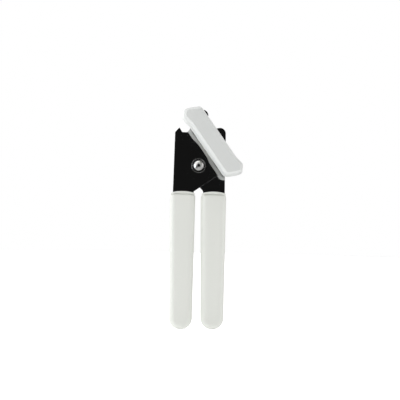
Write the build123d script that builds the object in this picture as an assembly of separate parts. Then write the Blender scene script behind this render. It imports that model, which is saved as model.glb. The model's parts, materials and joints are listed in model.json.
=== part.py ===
from build123d import *
from math import acos, atan2, cos, pi, radians, sin, tan
import os

# Gear-driven can opener with a butterfly key, all sizes in millimetres.
# Origin: the nip, where a can's rim passes between the feed wheel and the cutting wheel.
# X runs across the opener, +Y points away from the key, +Z points away from the grips.

# Layout of the axes
gear_pitch_radius = 9.0      # the key's axis and the cutter's axis stand this far from the nip
pivot_drop = 17.6            # from the nip down to the lever pivot
pivot_offset = -1.0          # from the nip across to the lever pivot
key_angle = -54.5            # direction of the key's long axis above +X

# Axial stack, from the cutting wheel towards the key
rim_gap = 0.25               # room for a can's wall between feed wheel and cutting wheel
feed_wheel_thickness = 3.0
drive_gear_thickness = 2.2
gear_clearance = 0.3         # free space each side of the cutter gear
plate_thickness = 1.8
plate_gap = 0.4              # between the two lever plates
slip = 0.05                  # axial play of a face that slides on another body
key_rim_stand_off = 10.5     # from the front plate to the key's open rim
key_height = 8.5             # depth of the moulded key

# Running and locating fits
shaft_clearance = 0.05       # radial, shaft in bush and hub on stud
pivot_clearance = 0.05       # radial, rear plate on the rivet

# Gears
gear_teeth = 15
gear_addendum = 0.95
gear_dedendum = 1.25
gear_backlash = 0.24
pressure_angle = 20.0
gear_foot_overlap = 0.5      # how far a tooth's foot reaches into the gear's disc

# Feed wheel and cutting wheel
feed_wheel_reach = 0.3       # from the pitch circle out to the teeth's tips
feed_teeth = 26
feed_tooth_depth = 0.9
cutter_reach = 0.5           # from the pitch circle out to the cutting edge
cutter_thickness = 1.5
cutter_bevel = 2.6
cutter_bevel_depth = 1.25
cutter_spacer_radius = 5.6
cutter_washer_thickness = 0.5
cutter_washer_radius = 4.6
stud_radius = 2.5
stud_head_radius = 4.2
stud_head_height = 1.7
stud_hub_wall = 1.4          # wall of the sleeve that carries gear and cutting wheel

# Shaft, bush and washers on the key's axis
shaft_radius = 2.8
square_half = 2.1            # half the width across the shaft's squared ends
bush_wall = 1.3
bush_flange_radius = 6.4
bush_flange_thickness = 1.0
thrust_washer_radius = 6.8
thrust_washer_thickness = 0.8
wave_washer_radius = 6.2
wave_washer_thickness = 0.35
wave_height = 1.1            # from the lowest to the highest face of the wave washer
waves = 3
wave_points = 8              # spline points for each wave
wave_washer_clearance = 0.3  # radial, over the shaft
collar_clearance = 0.15      # between the collar and the walls of the key's pocket
collar_foot_radius = 7.4
collar_foot_height = 1.6
feed_washer_radius = 5.0
feed_washer_thickness = 0.8
peened_radius = 3.3
peened_height = 1.1

# Pivot rivet
rivet_radius = 2.6
rivet_head_radius = 3.9
rivet_head_height = 2.1
rivet_tail_radius = 3.8
rivet_tail_height = 1.3
pivot_washer_radius = 5.7
pivot_washer_thickness = 0.6

# Lever plates, measured from the pivot
plate_left_top = -19.4
plate_left_bottom = -20.3
plate_right = 21.6
hook_base_height = 26.7
hook_base_rounding = 0.8
hook_tip = (-16.0, 30.7)
hook_tip_rounding = 0.5
notch_floor_left = (-13.6, 26.9)
notch_floor_right = (-9.6, 26.9)
notch_rounding = 0.9
nose_centre = (2.5, 41.0)
nose_radius = 4.7
nose_root_drop = 4.6         # from the nose's centre down to where its left side turns outwards
nose_neck_drop = 2.2         # the same on its right side
nose_root_rounding = 5.0
nose_neck_rounding = 1.2
saddle = (12.4, 30.2)        # low point between nose and shoulder lobe
saddle_rounding = 2.0
lobe_height = 26.5
lobe_radius = 4.7
lobe_lean = 15.0             # degrees, where the edge from the saddle meets the lobe
seam_right_height = -3.3     # where the front plate's lower edge meets its right edge
seam_corner_rounding = 1.2
front_tang_right = -3.7
rear_tang_left = 4.1
rear_tang_fillet = 4.0
rear_tang_rise = 0.8         # height above the mouth where the tang widens
rear_shoulder_height = -2.6
rear_shoulder_radius = 2.6
rear_pivot_boss = 11.8
rear_cutter_boss = 7.4
tang_shoulder_depth = 6.0    # full-width stretch of tang inside the grip
tang_width = 10.5
tang_length = 58.0
tang_end_radius = 3.0
tang_hole_radius = 2.6       # filled by the grip's plastic, which locks the grip on
tang_hole_step = 19.0

# Grips
grip_axis = 12.45            # each side of the pivot
grip_mouth_drop = 20.9       # from the pivot down to the grips' mouths
grip_length = 108.5
grip_width_top = 20.4
grip_width_bottom = 18.0
grip_thickness = 10.6
grip_side_radius = 4.6
grip_end_radius = 8.2
grip_shoulder_radius = 2.6   # where the body rounds in to the lip
grip_lip_height = 2.0        # from the body's shoulder to the crown of the lip
grip_lip_crown = 1.3         # how much the lip's middle stands above its ends
grip_lip_inset = 0.9         # the lip stands in from the body's sides, front and back
grip_lip_corner = 3.6
grip_lip_rounding = 0.7

# Key
key_half_length = 33.7       # from the key's axis to the far corner of an end
key_half_width = 8.4
key_flare = 1.3              # how far an end's corner stands out past the straight side
key_flare_start = 13.6       # from the far corner back to where the side bends out
key_flare_corner = 5.2       # from the far corner back to the flare's corner
key_far_corner_offset = 4.9  # the far corner's distance from the key's centre line
key_end_middle = (1.5, -0.3)
key_heel = 5.5               # from the far corner back to the corner on the other side
key_bend_rounding = 8.0
key_flare_rounding = 4.0
key_far_rounding = 3.4
key_end_rounding = 10.0
key_heel_rounding = 5.0
key_draft = 8.0              # degrees
key_edge_chamfer = 1.7
key_wall = 2.6
key_rib_thickness = 1.6
key_rib_places = (11.0, 19.0)
key_core_half_length = 24.0
key_core_half_width = 4.6
key_core_corner = 2.8
key_core_thickness = 1.6
key_core_recess = 2.2        # from the shell's rim to the core's outer face

# Positions along Y, worked out from the stack
feed_wheel_back = -rim_gap / 2
feed_wheel_front = feed_wheel_back - feed_wheel_thickness
gear_front = feed_wheel_front - drive_gear_thickness
rear_plate_back = gear_front - gear_clearance
rear_plate_front = rear_plate_back - plate_thickness
front_plate_back = rear_plate_front - plate_gap
front_plate_front = front_plate_back - plate_thickness
cutter_front = rim_gap / 2
cutter_back = cutter_front + cutter_thickness
cutter_gear_back = feed_wheel_front - gear_clearance
key_rim = front_plate_front - key_rim_stand_off
key_front = key_rim - key_height
collar_radius = key_half_width - key_wall - key_core_recess * tan(radians(key_draft)) - collar_clearance
core_back = key_rim - key_core_recess
core_front = core_back - key_core_thickness
flange_front = front_plate_front - bush_flange_thickness
wave_back = flange_front - slip
thrust_back = wave_back - wave_height
thrust_front = thrust_back - thrust_washer_thickness
grip_middle = (front_plate_back + rear_plate_front) / 2
grip_front = grip_middle - grip_thickness / 2
grip_back = grip_middle + grip_thickness / 2

# Wheels on the gears' axes
feed_wheel_radius = gear_pitch_radius + feed_wheel_reach
cutter_radius = gear_pitch_radius + cutter_reach

# Axes across the plates
key_x = gear_pitch_radius
cutter_x = -gear_pitch_radius
pivot_x = pivot_offset
pivot_z = -pivot_drop
mouth_z = pivot_z - grip_mouth_drop
bush_radius = shaft_radius + shaft_clearance + bush_wall
hub_bore = stud_radius + shaft_clearance
hub_radius = hub_bore + stud_hub_wall


def slab(outline, front, back):
    """Extrude a flat outline, drawn in X and Z, from Y=front to Y=back."""
    face = Plane.XZ.offset(-back) * outline
    return extrude(face, amount=back - front)


def disc(x, z, radius, front, back):
    """A round disc about an axis along Y."""
    return slab(Pos(x, z) * Circle(radius), front, back)


def dome(x, z, radius, height, base, away):
    """A spherical cap standing on Y=base; away is -1 towards the key, +1 towards the wheels."""
    sphere_radius = (radius**2 + height**2) / (2 * height)
    centre = base + away * (height - sphere_radius)
    ball = Pos(x, centre, z) * Sphere(sphere_radius)
    reach = base + away * height
    return ball & disc(x, z, radius, min(base, reach), max(base, reach))


def rounded(corners):
    """A closed outline from (x, z, corner radius) entries."""
    points = [(x, z) for x, z, radius in corners]
    radii = [radius for x, z, radius in corners]
    return make_face(FilletPolyline(*points, radius=radii, close=True))


def gear_outline(teeth, pitch_radius):
    """Involute gear with one tooth centred on the local x axis."""
    base_radius = pitch_radius * cos(radians(pressure_angle))
    root_radius = pitch_radius - gear_dedendum
    tip_radius = pitch_radius + gear_addendum
    pitch_half = pi / (2 * teeth) - gear_backlash / (4 * pitch_radius)
    rise = tan(radians(pressure_angle)) - radians(pressure_angle)

    def flank(radius):
        roll = acos(min(1.0, base_radius / radius))
        angle = pitch_half + rise - (tan(roll) - roll)
        return radius * cos(angle), radius * sin(angle)

    low = max(base_radius, root_radius)
    upper = [flank(low + (tip_radius - low) * step / 4) for step in range(5)]
    lower = [(x, -y) for x, y in upper]
    inner = root_radius - gear_foot_overlap
    start = atan2(upper[0][1], upper[0][0])
    foot = (inner * cos(start), inner * sin(start))
    edges = Line(foot, upper[0]) + Spline(*upper)
    edges += ThreePointArc(upper[-1], (tip_radius, 0), lower[-1])
    edges += Spline(*reversed(lower)) + Line(lower[0], (foot[0], -foot[1]))
    edges += Line((foot[0], -foot[1]), foot)
    tooth = make_face(edges)
    outline = Circle(root_radius)
    for place in PolarLocations(0, teeth):
        outline += place * tooth
    return outline


def feed_outline():
    """Feed wheel with sharp saw-like teeth that bite under a can's rim."""
    points = []
    for tooth in range(feed_teeth):
        tip = 2 * pi * tooth / feed_teeth
        gap = tip + pi / feed_teeth
        root = feed_wheel_radius - feed_tooth_depth
        points.append((feed_wheel_radius * cos(tip), feed_wheel_radius * sin(tip)))
        points.append((root * cos(gap), root * sin(gap)))
    return make_face(Polyline(*points, close=True))


def tang_outline(left, right, axis):
    """The part of a lever plate inside its grip, with two locking holes, measured from the pivot."""
    top = -grip_mouth_drop
    middle = (left + right) / 2
    shoulder = Pos(middle, top - tang_shoulder_depth / 2) * Rectangle(right - left, tang_shoulder_depth)
    corners = [
        (axis - tang_width / 2, top, 0),
        (axis + tang_width / 2, top, 0),
        (axis + tang_width / 2, top - tang_length, tang_end_radius),
        (axis - tang_width / 2, top - tang_length, tang_end_radius),
    ]
    outline = shoulder + rounded(corners)
    for step in (1, 2):
        outline -= Pos(axis, top - tang_hole_step * step) * Circle(tang_hole_radius)
    return outline


def front_plate_outline():
    """Hook, cap-lifter notch, nose and shoulder lobe above, slanted edge and tang below."""
    nose_x, nose_z = nose_centre
    lobe_x = plate_right - lobe_radius
    lean = radians(lobe_lean)
    lobe_top = (lobe_x - lobe_radius * sin(lean), lobe_height + lobe_radius * cos(lean))
    corners = [
        (plate_left_bottom, -grip_mouth_drop, 0),
        (plate_left_top, hook_base_height, hook_base_rounding),
        (*hook_tip, hook_tip_rounding),
        (*notch_floor_left, notch_rounding),
        (*notch_floor_right, notch_rounding),
        (nose_x - nose_radius, nose_z - nose_root_drop, nose_root_rounding),
        (nose_x - nose_radius, nose_z, 0),
        (nose_x + nose_radius, nose_z, 0),
        (nose_x + nose_radius, nose_z - nose_neck_drop, nose_neck_rounding),
        (*saddle, saddle_rounding),
        (*lobe_top, 0),
        (lobe_x, lobe_height, 0),
        (plate_right, lobe_height, 0),
        (plate_right, seam_right_height, seam_corner_rounding),
        (front_tang_right, -grip_mouth_drop, 0),
    ]
    outline = rounded(corners) + Pos(nose_x, nose_z) * Circle(nose_radius)
    outline += Pos(lobe_x, lobe_height) * Circle(lobe_radius)
    return outline + tang_outline(plate_left_bottom, front_tang_right, -grip_axis)


def rear_plate_outline():
    """Round bosses at the pivot and the cutter, a shoulder and the tang; it hides behind the front plate."""
    boss = rear_pivot_boss * sin(radians(45))
    foot = -grip_mouth_drop - tang_shoulder_depth / 2
    corners = [
        (rear_tang_left, foot, 0),
        (rear_tang_left, -grip_mouth_drop + rear_tang_rise, rear_tang_fillet),
        (-boss, -boss, 0),
        (0, 0, 0),
        (boss, rear_shoulder_height, 0),
        (plate_right, rear_shoulder_height, rear_shoulder_radius),
        (plate_right, foot, 0),
    ]
    pivot_boss = Circle(rear_pivot_boss)
    cutter_boss = Pos(cutter_x - pivot_x, pivot_drop) * Circle(rear_cutter_boss)
    arm = make_hull(pivot_boss.edges() + cutter_boss.edges())
    return rounded(corners) + arm + tang_outline(rear_tang_left, plate_right, grip_axis)


def front_plate():
    outline = Pos(pivot_x, pivot_z) * front_plate_outline()
    outline -= Pos(pivot_x, pivot_z) * Circle(rivet_radius)
    outline -= Pos(key_x, 0) * Circle(bush_radius)
    return slab(outline, front_plate_front, front_plate_back)


def rear_plate():
    outline = Pos(pivot_x, pivot_z) * rear_plate_outline()
    outline -= Pos(pivot_x, pivot_z) * Circle(rivet_radius + pivot_clearance)
    outline -= Pos(cutter_x, 0) * Circle(stud_radius)
    return slab(outline, rear_plate_front, rear_plate_back)


def grip_body(axis, top):
    """A flat bar, narrower towards its round end, with every edge rounded."""
    half_top = grip_width_top / 2
    half_bottom = grip_width_bottom / 2
    bottom = mouth_z - grip_length
    corners = [
        (axis - half_top, top, 0),
        (axis + half_top, top, 0),
        (axis + half_bottom, bottom, grip_end_radius),
        (axis - half_bottom, bottom, grip_end_radius),
    ]
    body = slab(rounded(corners), grip_front, grip_back)
    face_edges = body.faces().filter_by(Axis.Y).edges()
    top_edges = body.faces().sort_by(Axis.Z)[-1].edges()
    body = fillet([edge for edge in face_edges if edge not in top_edges], grip_side_radius)
    return fillet(body.faces().sort_by(Axis.Z)[-1].edges(), grip_shoulder_radius)


def grip_lip(axis, root):
    """The rim round a grip's mouth, crowned from side to side."""
    half = grip_width_top / 2 - grip_lip_inset
    section = RectangleRounded(2 * half, grip_thickness - 2 * grip_lip_inset, grip_lip_corner)
    rim = extrude(Pos(axis, grip_middle, root) * section, amount=mouth_z - root)
    ends = mouth_z - grip_lip_crown
    crown = ThreePointArc((axis - half, ends), (axis, mouth_z), (axis + half, ends))
    under = Polyline((axis + half, ends), (axis + half, root), (axis - half, root), (axis - half, ends))
    rim = rim & slab(make_face(crown + under), grip_front, grip_back)
    return fillet(rim.faces().sort_by(Axis.Z)[-1].edges(), grip_lip_rounding)


def grip(axis, plate):
    """A grip moulded round its plate's tang."""
    shoulder = mouth_z - grip_lip_height
    return grip_body(axis, shoulder) + grip_lip(axis, shoulder - grip_shoulder_radius) - plate


def ring(x, z, inner, outer, front, back):
    return slab(Pos(x, z) * (Circle(outer) - Circle(inner)), front, back)


def pivot_pieces():
    head_base = front_plate_front - pivot_washer_thickness
    washer_front = rear_plate_back + slip
    tail_base = washer_front + pivot_washer_thickness
    rivet = disc(pivot_x, pivot_z, rivet_radius, head_base, tail_base)
    rivet += dome(pivot_x, pivot_z, rivet_head_radius, rivet_head_height, head_base, -1)
    rivet += dome(pivot_x, pivot_z, rivet_tail_radius, rivet_tail_height, tail_base, 1)
    washers = {
        "pivot_front_washer": (head_base, front_plate_front),
        "pivot_spacer_washer": (front_plate_back, rear_plate_front - slip),
        "pivot_rear_washer": (washer_front, tail_base),
    }
    pieces = {"pivot_rivet": rivet}
    for name, (front, back) in washers.items():
        pieces[name] = ring(pivot_x, pivot_z, rivet_radius, pivot_washer_radius, front, back)
    return pieces


def shaft_bush():
    bore = shaft_radius + shaft_clearance
    flange = ring(key_x, 0, bore, bush_flange_radius, flange_front, front_plate_front)
    return flange + ring(key_x, 0, bore, bush_radius, front_plate_front, gear_front - slip)


def squared_end(front, back):
    """A stretch of shaft milled to a square whose corners keep the shaft's round."""
    outline = Circle(shaft_radius) & Rectangle(2 * square_half, 2 * square_half)
    return slab(Pos(key_x, 0) * outline, front, back)


def drive_shaft():
    washer_back = feed_wheel_back + feed_washer_thickness
    shaft = disc(key_x, 0, shaft_radius, core_back, gear_front)
    shaft += squared_end(core_front, core_back)
    shaft += squared_end(gear_front, washer_back)
    shaft += dome(key_x, 0, peened_radius, peened_height, core_front, -1)
    return shaft + dome(key_x, 0, peened_radius, peened_height, washer_back, 1)


def on_square(outline, front, back):
    """A piece on the key's axis with a hole that fits a squared shaft end."""
    return slab(Pos(key_x, 0) * outline, front, back) - squared_end(front, back)


def wave_washer():
    """A thin ring that waves between its two neighbours."""
    swing = (wave_height - wave_washer_thickness) / 2
    middle = wave_back - wave_washer_thickness - swing

    def rim(radius):
        points = []
        for step in range(waves * wave_points):
            turn = 2 * pi * step / (waves * wave_points)
            height = middle + swing * cos(waves * turn)
            points.append((key_x + radius * cos(turn), height, radius * sin(turn)))
        return Edge.make_spline(points, periodic=True)

    face = Face.make_surface_from_curves(rim(wave_washer_radius), rim(shaft_radius + wave_washer_clearance))
    return extrude(face, amount=wave_washer_thickness, dir=(0, 1, 0))


def key_collar():
    collar = ring(key_x, 0, shaft_radius, collar_radius, core_back, thrust_front)
    foot = ring(key_x, 0, shaft_radius, collar_foot_radius, thrust_front - collar_foot_height, thrust_front)
    return collar + foot


def on_key(outline):
    """Turn an outline drawn along the key into the key's place."""
    return Pos(key_x, 0) * Rot(0, 0, key_angle) * outline


def key_outline():
    """A long bar whose ends flare to opposite sides, the same after half a turn."""
    middle_back, middle_side = key_end_middle
    half = [
        (key_half_length - key_flare_start, key_half_width, key_bend_rounding),
        (key_half_length - key_flare_corner, key_half_width + key_flare, key_flare_rounding),
        (key_half_length, key_far_corner_offset, key_far_rounding),
        (key_half_length - middle_back, middle_side, key_end_rounding),
        (key_half_length - key_heel, -key_half_width, key_heel_rounding),
    ]
    other = [(-x, -z, radius) for x, z, radius in half]
    return rounded(half + other)


def key_shell():
    """Drafted shell, open towards the plates, with saddle ribs that hold the steel core."""
    solid = extrude(Plane.XZ.offset(-key_rim) * on_key(key_outline()), amount=key_height, taper=key_draft)
    solid = chamfer(solid.faces().sort_by(Axis.Y)[0].edges(), key_edge_chamfer)
    inner = offset(key_outline(), -key_wall)
    depth = key_height - key_wall
    pocket = extrude(Plane.XZ.offset(-key_rim) * on_key(inner), amount=depth, taper=key_draft)
    ribs = Sketch()
    for place in key_rib_places:
        for side in (-1, 1):
            ribs += Pos(side * place, 0) * Rectangle(key_rib_thickness, 3 * key_half_width)
    saddles = pocket & slab(on_key(ribs), key_front, core_back)
    return solid - pocket + (saddles - key_core())


def key_core():
    strip = RectangleRounded(2 * key_core_half_length, 2 * key_core_half_width, key_core_corner)
    return slab(on_key(strip), core_front, core_back) - squared_end(core_front, core_back)


def cutter_pieces():
    hub = ring(cutter_x, 0, hub_bore, hub_radius, gear_front, cutter_back)
    gear = gear_outline(gear_teeth, gear_pitch_radius) - Circle(hub_radius)
    spacer = ring(cutter_x, 0, hub_radius, cutter_spacer_radius, cutter_gear_back, cutter_front)
    edge_back = cutter_back - cutter_bevel_depth
    section = [
        (cutter_x + hub_radius, cutter_front),
        (cutter_x + cutter_radius, cutter_front),
        (cutter_x + cutter_radius, edge_back),
        (cutter_x + cutter_radius - cutter_bevel, cutter_back),
        (cutter_x + hub_radius, cutter_back),
    ]
    wheel = revolve(make_face(Polyline(*section, close=True)), Axis((cutter_x, 0, 0), (0, 1, 0)))
    return {
        "cutter_hub": hub,
        "cutter_gear": slab(Pos(cutter_x, 0) * gear, gear_front, cutter_gear_back),
        "cutter_spacer": spacer,
        "cutter_wheel": wheel,
    }


def cutter_stud_pieces():
    washer_front = cutter_back + slip
    head_base = washer_front + cutter_washer_thickness
    stud = disc(cutter_x, 0, stud_radius, rear_plate_front, head_base)
    stud += disc(cutter_x, 0, stud_head_radius, head_base, head_base + stud_head_height / 2)
    stud += dome(cutter_x, 0, stud_head_radius, stud_head_height / 2, head_base + stud_head_height / 2, 1)
    washer = ring(cutter_x, 0, stud_radius, cutter_washer_radius, washer_front, head_base)
    return {"cutter_stud": stud, "cutter_washer": washer}


def crank_pieces():
    drive_gear = gear_outline(gear_teeth, gear_pitch_radius)
    feed_washer_back = feed_wheel_back + feed_washer_thickness
    return {
        "key_shell": key_shell(),
        "key_core": key_core(),
        "key_collar": key_collar(),
        "thrust_washer": ring(key_x, 0, shaft_radius, thrust_washer_radius, thrust_front, thrust_back),
        "wave_washer": wave_washer(),
        "drive_shaft": drive_shaft(),
        "drive_gear": on_square(drive_gear, gear_front, feed_wheel_front),
        "feed_wheel": on_square(feed_outline(), feed_wheel_front, feed_wheel_back),
        "feed_washer": on_square(Circle(feed_washer_radius), feed_wheel_back, feed_washer_back),
    }


def opener():
    """Every piece of the can opener, by name."""
    front = front_plate()
    rear = rear_plate()
    pieces = {
        "front_plate": front,
        "left_grip": grip(pivot_x - grip_axis, front),
        "shaft_bush": shaft_bush(),
        "rear_plate": rear,
        "right_grip": grip(pivot_x + grip_axis, rear),
    }
    return pieces | pivot_pieces() | cutter_stud_pieces() | crank_pieces() | cutter_pieces()


os.makedirs("parts", exist_ok=True)
for name, piece in opener().items():
    export_step(piece, f"parts/{name}.step")
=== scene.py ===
import json
from math import atan, cos, pi, radians, sin

import bmesh
import bpy
from bpy.props import FloatProperty, FloatVectorProperty, PointerProperty
from mathutils import Matrix, Vector


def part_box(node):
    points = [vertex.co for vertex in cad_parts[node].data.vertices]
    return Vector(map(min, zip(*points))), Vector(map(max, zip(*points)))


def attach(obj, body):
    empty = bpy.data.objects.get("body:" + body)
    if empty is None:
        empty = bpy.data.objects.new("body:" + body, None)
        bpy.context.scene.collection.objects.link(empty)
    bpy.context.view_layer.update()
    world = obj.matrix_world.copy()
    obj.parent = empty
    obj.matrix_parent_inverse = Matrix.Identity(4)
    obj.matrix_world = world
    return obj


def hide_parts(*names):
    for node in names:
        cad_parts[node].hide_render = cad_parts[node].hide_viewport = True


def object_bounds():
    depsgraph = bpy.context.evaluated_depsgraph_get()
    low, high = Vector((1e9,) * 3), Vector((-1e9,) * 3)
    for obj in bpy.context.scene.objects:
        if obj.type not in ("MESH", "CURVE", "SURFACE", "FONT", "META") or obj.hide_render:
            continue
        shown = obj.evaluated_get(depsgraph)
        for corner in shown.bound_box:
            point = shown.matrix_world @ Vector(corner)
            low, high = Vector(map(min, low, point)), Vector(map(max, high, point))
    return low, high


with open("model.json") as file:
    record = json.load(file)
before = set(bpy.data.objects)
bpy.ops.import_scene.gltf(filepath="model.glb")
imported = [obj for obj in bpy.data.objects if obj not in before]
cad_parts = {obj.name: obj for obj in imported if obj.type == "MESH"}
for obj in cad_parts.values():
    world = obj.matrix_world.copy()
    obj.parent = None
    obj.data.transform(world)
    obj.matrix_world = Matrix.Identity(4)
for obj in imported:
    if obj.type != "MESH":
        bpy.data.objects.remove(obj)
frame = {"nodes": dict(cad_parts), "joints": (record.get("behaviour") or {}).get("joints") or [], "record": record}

bl_info = {
    "name": "Butterfly Can Opener",
    "version": (1, 0, 0),
    "blender": (4, 5, 0),
    "location": "3D View > Sidebar > Can Opener",
    "description": "A gear-driven can opener with plated levers, moulded grips and a butterfly key",
    "category": "Add Mesh",
}

MM = 0.001
MERGE = 0.002 * MM           # vertices nearer than this are one
TINY = 0.001 * MM            # heights nearer than this are level
RUNNING_FIT = 0.05 * MM      # radial room in a bore that turns
TAIL_STEP = 0.1 * MM         # how much smaller the rivet's tail is than its head
SHARP = radians(40)          # edges sharper than this stay crisp
FLAT = radians(0.6)          # triangles this near to level with each other are one face
AROUND = 96                  # faces round a turned piece
DOME_STEPS = 14              # faces from a dome's rim to its pole
LIP_STRIPS = 12              # strips across a grip's lip, so that it can be crowned
CAD_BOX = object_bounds()


def axis_of(joint_name):
    """Where a hinge's axis crosses the plates, as (x, z)."""
    joint = next(j for j in frame["joints"] if j["name"] == joint_name)
    return joint["pos_m"][0], joint["pos_m"][2]


KEY_AXIS = axis_of("key_turn")
CUTTER_AXIS = axis_of("cutter_spin")
PIVOT_AXIS = axis_of("lever_pivot")
AXES = {"cutter": CUTTER_AXIS, "pivot": PIVOT_AXIS, "key": KEY_AXIS}
BODY_OF = {node: body for body, nodes in frame["record"]["behaviour"]["bodies"].items() for node in nodes}
SLOT_OF = {entry["node"]: entry["material_slot"] for entry in frame["record"]["subparts"]}


# Settings

def length(name, description, millimetres):
    return FloatProperty(
        name=name, description=description, default=millimetres * MM, subtype="DISTANCE", unit="LENGTH")


def tilt(name, description, degrees):
    return FloatProperty(
        name=name, description=description, default=radians(degrees), subtype="ANGLE", unit="ROTATION")


class OpenerSizes(bpy.types.PropertyGroup):
    plate_edge: length("Plate edge", "Width of the rolled edge round each lever plate", 0.45)
    gear_edge: length("Gear edge", "Width of the tumbled edge on the stamped gears", 0.12)
    moulded_edge: length("Moulded edge", "Radius on the edges of the moulded key", 0.45)
    washer_edge: length("Washer edge", "Width of the rounded edge on washers, bush and stud", 0.12)
    rivet_radius: length("Rivet radius", "Radius of the pivot rivet's shank", 2.6)
    rivet_rim: length("Rivet rim", "Height of the straight rim under a rivet's domed head", 0.15)
    shaft_radius: length(
        "Shaft radius", "Radius of the shaft that carries the key and the feed wheel", 2.8)
    bush_radius: length("Bush radius", "Radius of the bush's barrel, where it sits in the plate", 4.15)
    bush_flange: length("Bush flange", "Thickness of the bush's flange", 1.0)
    collar_radius: length("Collar radius", "Radius of the collar inside the key", 5.3)
    collar_foot: length("Collar foot", "Height of the collar's wider foot", 1.6)
    stud_radius: length("Stud radius", "Radius of the stud that the cutter turns on", 2.5)
    hub_radius: length("Hub radius", "Radius of the sleeve that carries the cutter", 3.95)
    cutter_bevel: length("Cutter bevel", "Width of the ground bevel on the cutting wheel", 2.6)
    cutter_land: length("Cutter land", "Thickness left at the cutting edge", 0.25)
    grip_width: length("Grip width", "Width of a grip at its shoulder", 20.4)
    grip_foot_width: length("Grip foot width", "Width of a grip at its round end", 18.0)
    grip_end: length("Grip end", "Radius of a grip's round end", 8.2)
    grip_side: length("Grip side", "Radius along a grip's long edges", 4.6)
    grip_shoulder: length("Grip shoulder", "Radius where a grip rounds in to its lip", 2.6)
    grip_lip: length("Lip height", "Height of the lip above a grip's shoulder", 2.0)
    grip_lip_inset: length("Lip inset", "How far the lip stands in from a grip's sides", 0.6)
    grip_groove: length("Lip groove", "Depth of the groove under the lip", 1.0)
    grip_lip_crown: length("Lip crown", "How much the lip's middle stands above its ends", 1.3)
    grip_lip_corner: length("Lip corner", "Radius of the lip's corners, seen from above", 3.6)
    grip_lip_rounding: length("Lip rounding", "Radius on the lip's upper edge", 0.5)
    camera_distance: length("Camera distance", "From the camera to the point that it looks at", 444.0)
    camera_side: tilt("Camera side", "How far the camera stands to the right of square on", -4.0)
    camera_rise: tilt("Camera rise", "How far the camera stands above level", -4.0)
    camera_roll: tilt("Camera roll", "Roll of the camera about its own line of sight", 0.9)


def colour(name, description, default):
    return FloatVectorProperty(
        name=name, description=description, default=default, subtype="COLOR", size=3, min=0.0, max=1.0)


class OpenerColours(bpy.types.PropertyGroup):
    chrome: colour("Chrome", "Plated levers", (0.86, 0.865, 0.86))
    grip: colour("Grip plastic", "Moulded grips", (0.71, 0.72, 0.678))
    key: colour("Key plastic", "Moulded key", (0.64, 0.652, 0.638))
    collar: colour("Collar plastic", "Spacer collar", (0.70, 0.69, 0.66))
    steel: colour("Steel", "Turned and ground steel", (0.58, 0.57, 0.55))
    zinc: colour("Zinc", "Zinc-plated washers", (0.63, 0.63, 0.62))
    floor: colour("Floor", "Studio floor", (0.90, 0.90, 0.90))


def sizes():
    return bpy.context.scene.opener_sizes


def colours():
    return bpy.context.scene.opener_colours


# Shader maths

class Value:
    """An output socket that can be used in sums; each sum adds a Math node."""

    def __init__(self, finish, socket):
        self.finish = finish
        self.socket = socket

    def maths(self, operation, *others):
        inputs = dict(enumerate((self, *others)))
        return self.finish.node("ShaderNodeMath", {"operation": operation}, inputs)

    def __add__(self, other):
        return self.maths("ADD", other)

    def __mul__(self, other):
        return self.maths("MULTIPLY", other)

    def __sub__(self, other):
        return self.maths("SUBTRACT", other)

    def __rsub__(self, other):
        return (self * -1.0) + other

    def __pow__(self, other):
        return self.maths("POWER", other)

    def sine(self):
        return self.maths("SINE")


class Finish:
    """A material on one Principled shader, with its nodes made by one method."""

    def __init__(self, name, **constants):
        self.material = bpy.data.materials.new(name)
        self.material.use_nodes = True
        self.tree = self.material.node_tree
        self.shader = self.tree.nodes["Principled BSDF"]
        for socket, value in constants.items():
            self.socket(socket).default_value = value

    def socket(self, name):
        return self.shader.inputs[name.replace("_", " ").title().replace("Ior", "IOR")]

    def node(self, kind, settings=None, inputs=None, output=0):
        made = self.tree.nodes.new(kind)
        for name, value in (settings or {}).items():
            setattr(made, name, value)
        for name, value in (inputs or {}).items():
            if isinstance(value, Value):
                self.tree.links.new(value.socket, made.inputs[name])
            else:
                made.inputs[name].default_value = value
        return Value(self, made.outputs[output])

    def feed(self, **values):
        """Link varying values to the shader's own sockets."""
        for name, value in values.items():
            self.tree.links.new(value.socket, self.socket(name))
        return self.material

    def place(self, centre=(0, 0, 0), scale=(1, 1, 1), turn=(0, 0, 0)):
        """Object coordinates about a centre, stretched by scale."""
        point = self.node("ShaderNodeTexCoord", output="Object")
        shifted = self.node("ShaderNodeVectorMath", {"operation": "SUBTRACT"}, {0: point, 1: centre})
        return self.node("ShaderNodeMapping", {}, {"Vector": shifted, "Rotation": turn, "Scale": scale})

    def noise(self, place, scale, detail=3.0, rough=0.5):
        inputs = {"Vector": place, "Scale": scale, "Detail": detail, "Roughness": rough}
        return self.node("ShaderNodeTexNoise", {}, inputs)

    def band(self, value, low, high, to_low=0.0, to_high=1.0):
        """Map value from low..high to to_low..to_high, smoothly and clamped."""
        inputs = {"Value": value, 1: low, 2: high, 3: to_low, 4: to_high}
        return self.node("ShaderNodeMapRange", {"interpolation_type": "SMOOTHSTEP"}, inputs)

    def blend(self, factor, first, second):
        """Mix two colours."""
        inputs = {0: factor, 6: first, 7: second}
        return self.node("ShaderNodeMix", {"data_type": "RGBA"}, inputs, output=2)

    def bump(self, height, strength, distance):
        inputs = {"Height": height, "Strength": strength, "Distance": distance}
        return self.node("ShaderNodeBump", {}, inputs)

    def radius(self, axis):
        """Distance from an axis along Y through (x, z)."""
        place = self.place(centre=(axis[0], 0, axis[1]))
        x = self.node("ShaderNodeSeparateXYZ", {}, {"Vector": place}, output=0)
        z = self.node("ShaderNodeSeparateXYZ", {}, {"Vector": place}, output=2)
        return (x * x + z * z) ** 0.5


def shade(rgb, factor=1.0):
    return (*[min(1.0, channel * factor) for channel in rgb], 1.0)


# Finishes

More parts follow.
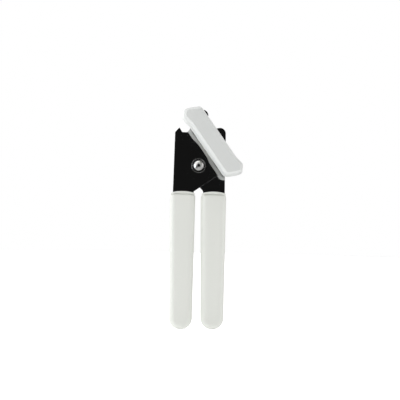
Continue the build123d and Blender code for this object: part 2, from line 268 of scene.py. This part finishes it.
DISH_FROM, DISH_TO = 5.0 * MM, 15.0 * MM      # radii between which the chrome's dish fades out
DISH_DEPTH = 0.36                             # in millimetres, as are chrome's other heights
WORN_FROM, WORN_TO = 8.2 * MM, 9.6 * MM       # radii between which the teeth's tips are worn


def chrome_plate(name):
    """Bright chrome on rolled sheet, a little dished round the shaft.

    It has faint rolling waves, hairlines and handling marks.
    """
    finish = Finish(name, metallic=1.0)
    tone = colours().chrome
    place = finish.place()
    cloud = finish.noise(place, 60.0, 3.0)
    hairs = finish.noise(finish.place(scale=(1.0, 1.0, 0.02)), 2600.0, 2.0)
    scuffs = finish.noise(finish.place(scale=(0.06, 1.0, 1.0), turn=(0, 0.5, 0)), 1400.0, 2.0)
    marks = finish.band(scuffs, 0.62, 0.74)
    rough = cloud * 0.035 + hairs * 0.03 + marks * 0.10 + 0.035
    tint = finish.blend(cloud, shade(tone, 1.03), shade(tone, 0.95))
    wave = finish.noise(finish.place(scale=(1.0, 1.0, 0.35)), 55.0, 1.0)
    dish = finish.band(finish.radius(KEY_AXIS), DISH_FROM, DISH_TO, DISH_DEPTH, 0.0)
    height = dish + wave * 0.036 + hairs * 0.0004 + marks * 0.0007
    return finish.feed(base_color=tint, roughness=rough, normal=finish.bump(height, 1.0, MM))


def white_plastic(name, tone, roughness, grain):
    """Moulded plastic: fine spark-eroded grain, flow clouds, a trace of handling dirt."""
    finish = Finish(name, ior=1.49, specular_ior_level=0.5)
    place = finish.place()
    flow = finish.noise(finish.place(scale=(1.0, 1.0, 0.25)), 70.0, 3.0)
    speck = finish.noise(place, 5200.0, 2.0)
    dirt = finish.band(finish.noise(place, 260.0, 4.0, 0.6), 0.60, 0.80)
    warm = (tone[0] * 0.93, tone[1] * 0.925, tone[2] * 0.90, 1.0)
    clean = finish.blend(flow, shade(tone, 1.02), shade(tone, 0.975))
    tint = finish.blend(dirt * 0.25, clean, warm)
    rough = flow * 0.08 + dirt * 0.10 + roughness
    height = speck * grain + flow * 0.4
    return finish.feed(base_color=tint, roughness=rough, normal=finish.bump(height, 0.35, 0.05 * MM))


def turned_steel(name, axis, tone, roughness, pitch, oil=0.3):
    """Steel with concentric tool marks about an axis, darker where oil sits."""
    finish = Finish(name, metallic=1.0)
    place = finish.place()
    radius = finish.radius(axis)
    wander = finish.noise(place, 900.0, 2.0)
    rings = (radius * (2 * pi / pitch) + wander * 5.0).sine()
    film = finish.band(finish.noise(place, 240.0, 4.0, 0.6), 0.45, 0.72)
    fine = finish.noise(place, 3800.0, 2.0)
    dark = (tone[0] * 0.55, tone[1] * 0.50, tone[2] * 0.44, 1.0)
    tint = finish.blend(film * oil, shade(tone), dark)
    rough = rings * 0.03 + film * 0.08 + fine * 0.06 + roughness
    height = rings * 0.5 + fine * 0.25
    return finish.feed(base_color=tint, roughness=rough, normal=finish.bump(height, 0.30, 0.03 * MM))


def stamped_steel(name, axis, tone, roughness):
    """Tumbled stamping: dull faces with small nicks and bright worn tips."""
    finish = Finish(name, metallic=1.0)
    place = finish.place()
    radius = finish.radius(axis)
    nicks = finish.node(
        "ShaderNodeTexVoronoi", {"feature": "DISTANCE_TO_EDGE"}, {"Vector": place, "Scale": 900.0})
    fine = finish.noise(place, 2600.0, 3.0)
    grime = finish.band(finish.noise(place, 420.0, 4.0, 0.6), 0.42, 0.70)
    worn = finish.band(radius, WORN_FROM, WORN_TO)
    dark = (tone[0] * 0.42, tone[1] * 0.38, tone[2] * 0.33, 1.0)
    base = finish.blend(grime * 0.65, shade(tone), dark)
    tint = finish.blend(worn * 0.5, base, shade(tone, 1.15))
    rough = fine * 0.12 + grime * 0.12 + roughness - worn * 0.08
    height = fine * 0.5 + finish.band(nicks, 0.0, 0.08) * 0.3
    return finish.feed(base_color=tint, roughness=rough, normal=finish.bump(height, 0.35, 0.04 * MM))


def turned(tone, roughness, pitch, oil):
    """Turned steel that still needs its name and axis; pitch is in millimetres."""
    return lambda name, axis: turned_steel(name, axis, tone, roughness, pitch * MM, oil)


def recipes():
    """How to make each slot's finish, given a name and an axis."""
    tone = colours()
    return {
        "lever_steel": lambda name, axis: chrome_plate(name),
        "grip_plastic": lambda name, axis: white_plastic(name, tone.grip, 0.30, 0.5),
        "key_plastic": lambda name, axis: white_plastic(name, tone.key, 0.26, 0.35),
        "collar_plastic": lambda name, axis: white_plastic(name, tone.collar, 0.42, 0.6),
        "gear_steel": lambda name, axis: stamped_steel(name, axis, tone.steel, 0.30),
        "rivet_steel": turned(tone.zinc, 0.10, 0.35, 0.15),
        "washer_steel": turned(tone.zinc, 0.18, 0.22, 0.2),
        "wheel_steel": turned(tone.steel, 0.20, 0.25, 0.3),
        "shaft_steel": turned(tone.steel, 0.22, 0.30, 0.3),
        "bush_steel": turned(tone.steel, 0.25, 0.28, 0.5),
    }


FINISHES = {}


def finish_of(node):
    """The node's material; round pieces get one for each slot and axis, made once."""
    slot = SLOT_OF[node]
    first = node.split("_")[0]
    family = first if first in AXES else "key"
    name = slot if slot.endswith("plastic") or slot == "lever_steel" else f"{slot}_{family}"
    if name not in FINISHES:
        FINISHES[name] = recipes()[slot](name, AXES[family])
    return FINISHES[name]


# Shaping

def add_piece(name, form, node):
    """Turn a bmesh into a finished piece that stands for a CAD node and rides with its body."""
    bmesh.ops.remove_doubles(form, verts=form.verts, dist=MERGE)
    bmesh.ops.recalc_face_normals(form, faces=form.faces)
    for face in form.faces:
        face.smooth = True
    mesh = bpy.data.meshes.new(name)
    form.to_mesh(mesh)
    form.free()
    mesh.set_sharp_from_angle(angle=SHARP)
    piece = bpy.data.objects.new(name, mesh)
    bpy.context.scene.collection.objects.link(piece)
    mesh.materials.append(finish_of(node))
    modifier = piece.modifiers.new("flat faces", "WEIGHTED_NORMAL")
    modifier.keep_sharp = True
    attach(piece, BODY_OF[node])
    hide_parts(node)
    return piece


def ease_edges(form, width, segments=2, angle=30):
    """Round every edge sharper than angle."""
    sharp = [edge for edge in form.edges if edge.is_manifold and edge.calc_face_angle() > radians(angle)]
    round_edges(form, sharp, width, segments)


def round_edges(form, edges, width, segments):
    return bmesh.ops.bevel(
        form, geom=edges, offset=width, offset_type="OFFSET", segments=segments, profile=0.5,
        affect="EDGES", clamp_overlap=True, material=-1)


def eased_node(node, width, segments=2):
    """A copy of a CAD node, its loose triangles joined into whole faces and its edges rounded."""
    form = bmesh.new()
    form.from_mesh(frame["nodes"][node].data)
    bmesh.ops.remove_doubles(form, verts=form.verts, dist=MERGE)
    bmesh.ops.dissolve_limit(form, angle_limit=FLAT, verts=form.verts, edges=form.edges)
    ease_edges(form, width, segments)
    return add_piece(f"{node}_finished", form, node)


class Turning:
    """A half-section, drawn as radius and depth along Y, that is spun about an axis."""

    def __init__(self, axis, radius, depth):
        self.axis = axis
        self.form = bmesh.new()
        self.first = self.last = self.form.verts.new(self.place(radius, depth))

    def place(self, radius, depth):
        return (self.axis[0] + radius, depth, self.axis[1])

    def line(self, *points):
        for radius, depth in points:
            fresh = self.form.verts.new(self.place(radius, depth))
            self.form.edges.new((self.last, fresh))
            self.last = fresh
        return self

    def arc(self, radius, depth, angle):
        """Swing on round a centre; a positive angle goes from outwards towards +Y."""
        made = bmesh.ops.spin(
            self.form, geom=[self.last], cent=self.place(radius, depth), axis=(0, 0, 1),
            angle=angle, steps=DOME_STEPS)
        self.last = made["geom_last"][0]
        return self

    def spun(self, closed=True):
        if closed:
            self.form.edges.new((self.last, self.first))
        section = self.form.verts[:] + self.form.edges[:]
        bmesh.ops.spin(
            self.form, geom=section, cent=self.place(0, 0), axis=(0, 1, 0), angle=2 * pi,
            steps=AROUND, use_merge=True)
        bmesh.ops.remove_doubles(self.form, verts=self.form.verts, dist=MERGE)
        return self.form


def reach(node):
    """A round node's outer radius, and its front and back along Y."""
    low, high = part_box(node)
    return (high[0] - low[0]) / 2, low[1], high[1]


def turned_piece(node, axis, *profile):
    """Spin a closed profile of (radius, depth) points and round its edges."""
    form = Turning(axis, *profile[0]).line(*profile[1:]).spun()
    ease_edges(form, sizes().washer_edge, segments=3, angle=20)
    return add_piece(f"{node}_turned", form, node)


def turned_ring(node, axis, bore):
    """A washer or sleeve."""
    outer, front, back = reach(node)
    return turned_piece(node, axis, (bore, front), (outer, front), (outer, back), (bore, back))


def dome_arc(section, radius, height, towards, to_pole=True):
    """Along a spherical cap between its rim and its pole; towards is -1 for -Y and 1 for +Y."""
    ball = (radius ** 2 + height ** 2) / (2 * height)
    half = atan(radius / (ball - height))
    if to_pole:
        return section.arc(0, section.last.co.y - towards * (ball - height), towards * half)
    return section.arc(0, section.last.co.y - towards * ball, -towards * half)


class OPENER_OT_levers(bpy.types.Operator):
    """Build the two plated levers with their rolled edges"""
    bl_idname = "opener.levers"
    bl_label = "Lever Plates"

    def execute(self, context):
        for node in ("front_plate", "rear_plate"):
            eased_node(node, sizes().plate_edge, segments=3)
        return {"FINISHED"}


def grip_body(node, lip):
    """A flat bar, narrower towards its round end, with every edge rounded."""
    size = sizes()
    low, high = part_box(node)
    middle = (low + high) / 2
    wide, thick = size.grip_width, high[1] - low[1]
    top = high[2] - lip
    form = bmesh.new()
    block = Matrix.Diagonal((wide, thick, top - low[2], 1))
    place = Matrix.Translation((middle.x, middle.y, (top + low[2]) / 2))
    bmesh.ops.create_cube(form, size=1.0, matrix=place @ block)
    foot = [vert for vert in form.verts if vert.co.z < middle.z]
    narrow = (size.grip_foot_width / wide, 1, 1)
    bmesh.ops.scale(form, vec=narrow, verts=foot, space=Matrix.Translation(-middle))
    across = [edge for edge in form.edges if set(edge.verts) <= set(foot) and runs_along(edge, 1)]
    round_edges(form, across, size.grip_end, segments=20)
    level = top - TINY
    sides = [edge for edge in form.edges if not runs_along(edge, 1) and lowest(edge) < level]
    round_edges(form, sides, size.grip_side, segments=12)
    rim = [edge for edge in form.edges if lowest(edge) > level and edge.calc_face_angle(0) > 1]
    round_edges(form, rim, size.grip_shoulder, segments=8)
    return form


def lowest(edge):
    return min(vert.co.z for vert in edge.verts)


def runs_along(edge, axis):
    """Whether an edge runs along one axis: 0 for X, 1 for Y, 2 for Z."""
    span = edge.verts[1].co - edge.verts[0].co
    return abs(span[axis]) > 0.99 * span.length


def crowned_block(node, inset, bottom, top):
    """A block over a grip's mouth, rounded seen from above and crowned from side to side."""
    size = sizes()
    low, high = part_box(node)
    middle = (low + high) / 2
    wide, thick = size.grip_width - 2 * inset, high[1] - low[1] - 2 * inset
    form = bmesh.new()
    block = Matrix.Diagonal((wide, thick, top - bottom, 1))
    place = Matrix.Translation((middle.x, middle.y, (top + bottom) / 2))
    bmesh.ops.create_cube(form, size=1.0, matrix=place @ block)
    uprights = [edge for edge in form.edges if runs_along(edge, 2)]
    round_edges(form, uprights, size.grip_lip_corner, segments=10)
    for step in range(1, LIP_STRIPS):
        cut = middle.x - wide / 2 + wide * step / LIP_STRIPS
        everything = form.verts[:] + form.edges[:] + form.faces[:]
        bmesh.ops.bisect_plane(form, geom=everything, plane_co=(cut, 0, 0), plane_no=(1, 0, 0))
    for vert in form.verts:
        vert.co.z -= size.grip_lip_crown * ((vert.co.x - middle.x) / (wide / 2)) ** 2
    return form


def grip_lip(node, lip):
    """The rim round a grip's mouth, over a shadow groove."""
    size = sizes()
    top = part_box(node)[1][2]
    rim = crowned_block(node, size.grip_lip_inset, top - lip + size.grip_groove / 2, top)
    ease_edges(rim, size.grip_lip_rounding, segments=5, angle=40)
    return rim


def grip_neck(node, lip):
    """The narrower neck between a grip's body and its rim."""
    size = sizes()
    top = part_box(node)[1][2]
    inset = size.grip_lip_inset + size.grip_groove
    return crowned_block(node, inset, top - lip - size.grip_shoulder / 2, top - lip / 2)


class OPENER_OT_grips(bpy.types.Operator):
    """Build the moulded grips"""
    bl_idname = "opener.grips"
    bl_label = "Grips"

    def execute(self, context):
        for node in ("left_grip", "right_grip"):
            lip = sizes().grip_lip
            add_piece(f"{node}_body", grip_body(node, lip), node)
            add_piece(f"{node}_neck", grip_neck(node, lip), node)
            add_piece(f"{node}_lip", grip_lip(node, lip), node)
        return {"FINISHED"}


class OPENER_OT_pivot(bpy.types.Operator):
    """Turn the pivot rivet, with its formed head and tail, and its three washers"""
    bl_idname = "opener.pivot"
    bl_label = "Pivot"

    def execute(self, context):
        shank, rim = sizes().rivet_radius, sizes().rivet_rim
        for node in ("pivot_front_washer", "pivot_spacer_washer", "pivot_rear_washer"):
            turned_ring(node, PIVOT_AXIS, shank)
        head, front, back = reach("pivot_rivet")
        tail = head - TAIL_STEP
        head_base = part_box("pivot_front_washer")[0][1]
        tail_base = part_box("pivot_rear_washer")[1][1]
        rivet = Turning(PIVOT_AXIS, 0, back)
        dome_arc(rivet, tail, back - tail_base - rim, 1, to_pole=False)
        rivet.line((tail - rim, tail_base), (shank, tail_base))
        rivet.line((shank, head_base), (head - rim, head_base), (head, head_base - rim))
        dome_arc(rivet, head, head_base - rim - front, -1)
        add_piece("pivot_rivet_turned", rivet.spun(closed=False), "pivot_rivet")
        return {"FINISHED"}


class OPENER_OT_key(bpy.types.Operator):
    """Build the moulded key, its steel core and its collar"""
    bl_idname = "opener.key"
    bl_label = "Butterfly Key"

    def execute(self, context):
        size = sizes()
        eased_node("key_shell", size.moulded_edge, segments=3)
        eased_node("key_core", size.washer_edge)
        foot, front, back = reach("key_collar")
        step = back - size.collar_foot
        turned_piece(
            "key_collar", KEY_AXIS, (size.shaft_radius, front), (size.collar_radius, front),
            (size.collar_radius, step), (foot, step), (foot, back), (size.shaft_radius, back))
        return {"FINISHED"}


class OPENER_OT_drive(bpy.types.Operator):
    """Build the shaft, bush, washers, drive gear and feed wheel"""
    bl_idname = "opener.drive"
    bl_label = "Drive"

    def execute(self, context):
        size = sizes()
        flange, front, back = reach("shaft_bush")
        bore, step = size.shaft_radius + RUNNING_FIT, front + size.bush_flange
        turned_piece(
            "shaft_bush", KEY_AXIS, (bore, front), (flange, front), (flange, step),
            (size.bush_radius, step), (size.bush_radius, back), (bore, back))
        turned_ring("thrust_washer", KEY_AXIS, size.shaft_radius)
        for node in ("wave_washer", "drive_shaft", "feed_washer"):
            eased_node(node, size.washer_edge)
        for node in ("drive_gear", "feed_wheel"):
            eased_node(node, size.gear_edge)
        return {"FINISHED"}


class OPENER_OT_cutter(bpy.types.Operator):
    """Build the cutting wheel, its gear, hub, spacer, stud and washer"""
    bl_idname = "opener.cutter"
    bl_label = "Cutter"

    def execute(self, context):
        size = sizes()
        turned_ring("cutter_hub", CUTTER_AXIS, size.stud_radius + RUNNING_FIT)
        turned_ring("cutter_spacer", CUTTER_AXIS, size.hub_radius)
        turned_ring("cutter_washer", CUTTER_AXIS, size.stud_radius)
        self.turn_stud(size)
        rim, front, back = reach("cutter_wheel")
        wheel = Turning(CUTTER_AXIS, size.hub_radius, front)
        wheel.line((rim, front), (rim, front + size.cutter_land))
        wheel.line((rim - size.cutter_bevel, back), (size.hub_radius, back))
        add_piece("cutter_wheel_turned", wheel.spun(), "cutter_wheel")
        eased_node("cutter_gear", size.gear_edge)
        return {"FINISHED"}

    def turn_stud(self, size):
        head, front, back = reach("cutter_stud")
        head_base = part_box("cutter_washer")[1][1]
        dome = (back - head_base) / 2
        stud = Turning(CUTTER_AXIS, 0, back)
        dome_arc(stud, head, dome, 1, to_pole=False)
        stud.line((head, head_base), (size.stud_radius, head_base))
        stud.line((size.stud_radius, front), (0, front))
        add_piece("cutter_stud_turned", stud.spun(closed=False), "cutter_stud")


# Stage

FLOOR_RADIUS = 2.4           # metres, inside the tent
FLOOR_GLOW = 0.52
FLOOR_GAP = 0.2 * MM         # below the opener's lowest point
TENT_RADIUS = 2.5            # metres
TENT_GAIN = 1.3
TENT_DARKEST = 0.0075
TENT_OPENINGS = (            # direction, cosines where it starts and is full, share of light lost
    ((0.07, -1.0, 0.17), 0.70, 0.88, 1.0),
    ((0.65, 0.75, -0.25), 0.60, 0.95, 0.85),
    ((-0.64, -0.64, -0.42), 0.82, 0.97, 0.7),
)
SOFTBOXES = (                # name, place, width, height, watts, colour
    ("left_softbox", (-0.85, -0.18, -0.08), 0.5, 0.7, 2.0, (0.88, 0.94, 1.0)),
    ("right_softbox", (0.75, -0.30, 0.10), 0.4, 0.6, 0.3, (1, 1, 1)),
    ("top_softbox", (0.0, -0.20, 0.85), 0.7, 0.5, 0.8, (1, 1, 1)),
    ("back_softbox", (-0.45, 0.70, 0.45), 0.5, 0.5, 0.4, (1, 1, 1)),
)
SOFTBOX_TARGET = Vector((0.0, 0.0, -0.05))
AIM_ACROSS, AIM_UP = 1.5 * MM, -27.6 * MM     # where the camera looks, from the pivot


def stage_material(name, rgb, emission):
    material = bpy.data.materials.new(name)
    material.use_nodes = True
    shader = material.node_tree.nodes["Principled BSDF"]
    shader.inputs["Base Color"].default_value = (*rgb, 1.0)
    shader.inputs["Roughness"].default_value = 0.9
    shader.inputs["Specular IOR Level"].default_value = 0.1
    shader.inputs["Emission Color"].default_value = (*rgb, 1.0)
    shader.inputs["Emission Strength"].default_value = emission
    return material


def stage_object(name, form, material):
    mesh = bpy.data.meshes.new(name)
    form.to_mesh(mesh)
    form.free()
    mesh.materials.append(material)
    placed = bpy.data.objects.new(name, mesh)
    bpy.context.scene.collection.objects.link(placed)
    return placed


def add_floor():
    form = bmesh.new()
    place = Matrix.Translation((0, 0, CAD_BOX[0][2] - FLOOR_GAP))
    bmesh.ops.create_circle(
        form, cap_ends=True, cap_tris=False, segments=96, radius=FLOOR_RADIUS, matrix=place)
    floor = stage_object("floor", form, stage_material("floor", colours().floor, FLOOR_GLOW))
    floor.visible_glossy = False


def tent_material():
    """White cloth, brightest above and to the left.

    It has three soft dark openings: in front, behind, and low to the front left.
    """
    finish = Finish("reflected_tent", roughness=1.0, specular_ior_level=0.0)
    place = finish.node("ShaderNodeTexCoord", output="Object")
    way = finish.node("ShaderNodeVectorMath", {"operation": "NORMALIZE"}, {0: place})
    across = finish.node("ShaderNodeSeparateXYZ", {}, {"Vector": way}, output=0)
    height = finish.node("ShaderNodeSeparateXYZ", {}, {"Vector": way}, output=2)

    light = finish.band(height, -0.6, 0.9, 0.55, 1.0) * finish.band(across, -0.8, 0.8, 1.12, 0.80)
    for direction, edge, core, lost in TENT_OPENINGS:
        aim = Vector(direction).normalized()
        towards = finish.node(
            "ShaderNodeVectorMath", {"operation": "DOT_PRODUCT"}, {0: way, 1: aim}, output=1)
        light = light * (1.0 - finish.band(towards, edge, core) * lost)
    light = light * TENT_GAIN + TENT_DARKEST
    white = finish.blend(light * 0.5, (0, 0, 0, 1), (1, 1, 1, 1))
    finish.shader.inputs["Base Color"].default_value = (0, 0, 0, 1)
    finish.shader.inputs["Emission Strength"].default_value = 2.0
    return finish.feed(emission_color=white)


def add_tent():
    """The shell that lights the opener; the camera doesn't see it."""
    form = bmesh.new()
    bmesh.ops.create_icosphere(form, subdivisions=4, radius=TENT_RADIUS)
    shell = stage_object("reflected_tent", form, tent_material())
    shell.visible_camera = False
    shell.visible_transmission = False
    shell.visible_shadow = False


def add_softbox(name, place, width, height, power, tint):
    light = bpy.data.lights.new(name, "AREA")
    light.shape = "RECTANGLE"
    light.size = width
    light.size_y = height
    light.energy = power
    light.color = tint
    lamp = bpy.data.objects.new(name, light)
    bpy.context.scene.collection.objects.link(lamp)
    lamp.location = place
    lamp.rotation_euler = (SOFTBOX_TARGET - Vector(place)).to_track_quat("-Z", "Y").to_euler()


def add_world():
    """A white backdrop that only the camera sees; it's in the scene before its visibility is set."""
    world = bpy.data.worlds.new("pale_studio")
    bpy.context.scene.world = world
    world.use_nodes = True
    background = world.node_tree.nodes["Background"]
    background.inputs["Color"].default_value = (1.0, 1.0, 1.0, 1.0)
    background.inputs["Strength"].default_value = 1.0
    world.cycles_visibility.glossy = False
    world.cycles_visibility.diffuse = False


def add_camera():
    size = sizes()
    data = bpy.data.cameras.new("camera")
    data.lens = 50.0
    data.sensor_width = 36.0
    camera = bpy.data.objects.new("camera", data)
    bpy.context.scene.collection.objects.link(camera)
    plate_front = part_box("front_plate")[0].y
    aim = Vector((PIVOT_AXIS[0] + AIM_ACROSS, plate_front, PIVOT_AXIS[1] + AIM_UP))
    side, rise = size.camera_side, size.camera_rise
    back = Vector((sin(side) * cos(rise), -cos(side) * cos(rise), sin(rise)))
    camera.location = aim + back * size.camera_distance
    turn = (-back).to_track_quat("-Z", "Y").to_matrix().to_4x4()
    camera.rotation_euler = (turn @ Matrix.Rotation(size.camera_roll, 4, "Z")).to_euler()
    data.clip_start = 0.01
    data.clip_end = 20.0
    bpy.context.scene.camera = camera


class OPENER_OT_stage(bpy.types.Operator):
    """Set the floor, the soft lights and the camera"""
    bl_idname = "opener.stage"
    bl_label = "Stage"

    def execute(self, context):
        context.scene.view_settings.view_transform = "Standard"
        add_world()
        add_floor()
        add_tent()
        for softbox in SOFTBOXES:
            add_softbox(*softbox)
        add_camera()
        return {"FINISHED"}


class OPENER_PT_panel(bpy.types.Panel):
    """Lists the settings and the steps that build the opener"""
    bl_idname = "OPENER_PT_panel"
    bl_label = "Can Opener"
    bl_space_type = "VIEW_3D"
    bl_region_type = "UI"
    bl_category = "Can Opener"

    def draw(self, context):
        for group in (context.scene.opener_sizes, context.scene.opener_colours):
            box = self.layout.box()
            for name in group.bl_rna.properties.keys():
                if name not in ("rna_type", "name"):
                    box.prop(group, name)
        for step in STEPS:
            self.layout.operator(step.bl_idname)


STEPS = (
    OPENER_OT_levers,
    OPENER_OT_grips,
    OPENER_OT_pivot,
    OPENER_OT_key,
    OPENER_OT_drive,
    OPENER_OT_cutter,
    OPENER_OT_stage,
)
CLASSES = (OpenerSizes, OpenerColours, *STEPS, OPENER_PT_panel)


def register():
    for each in CLASSES:
        bpy.utils.register_class(each)
    bpy.types.Scene.opener_sizes = PointerProperty(type=OpenerSizes)
    bpy.types.Scene.opener_colours = PointerProperty(type=OpenerColours)


def unregister():
    del bpy.types.Scene.opener_colours
    del bpy.types.Scene.opener_sizes
    for each in reversed(CLASSES):
        bpy.utils.unregister_class(each)


def main():
    register()
    bpy.ops.opener.levers()
    bpy.ops.opener.grips()
    bpy.ops.opener.pivot()
    bpy.ops.opener.key()
    bpy.ops.opener.drive()
    bpy.ops.opener.cutter()
    bpy.ops.opener.stage()


if __name__ == "__main__":
    main()
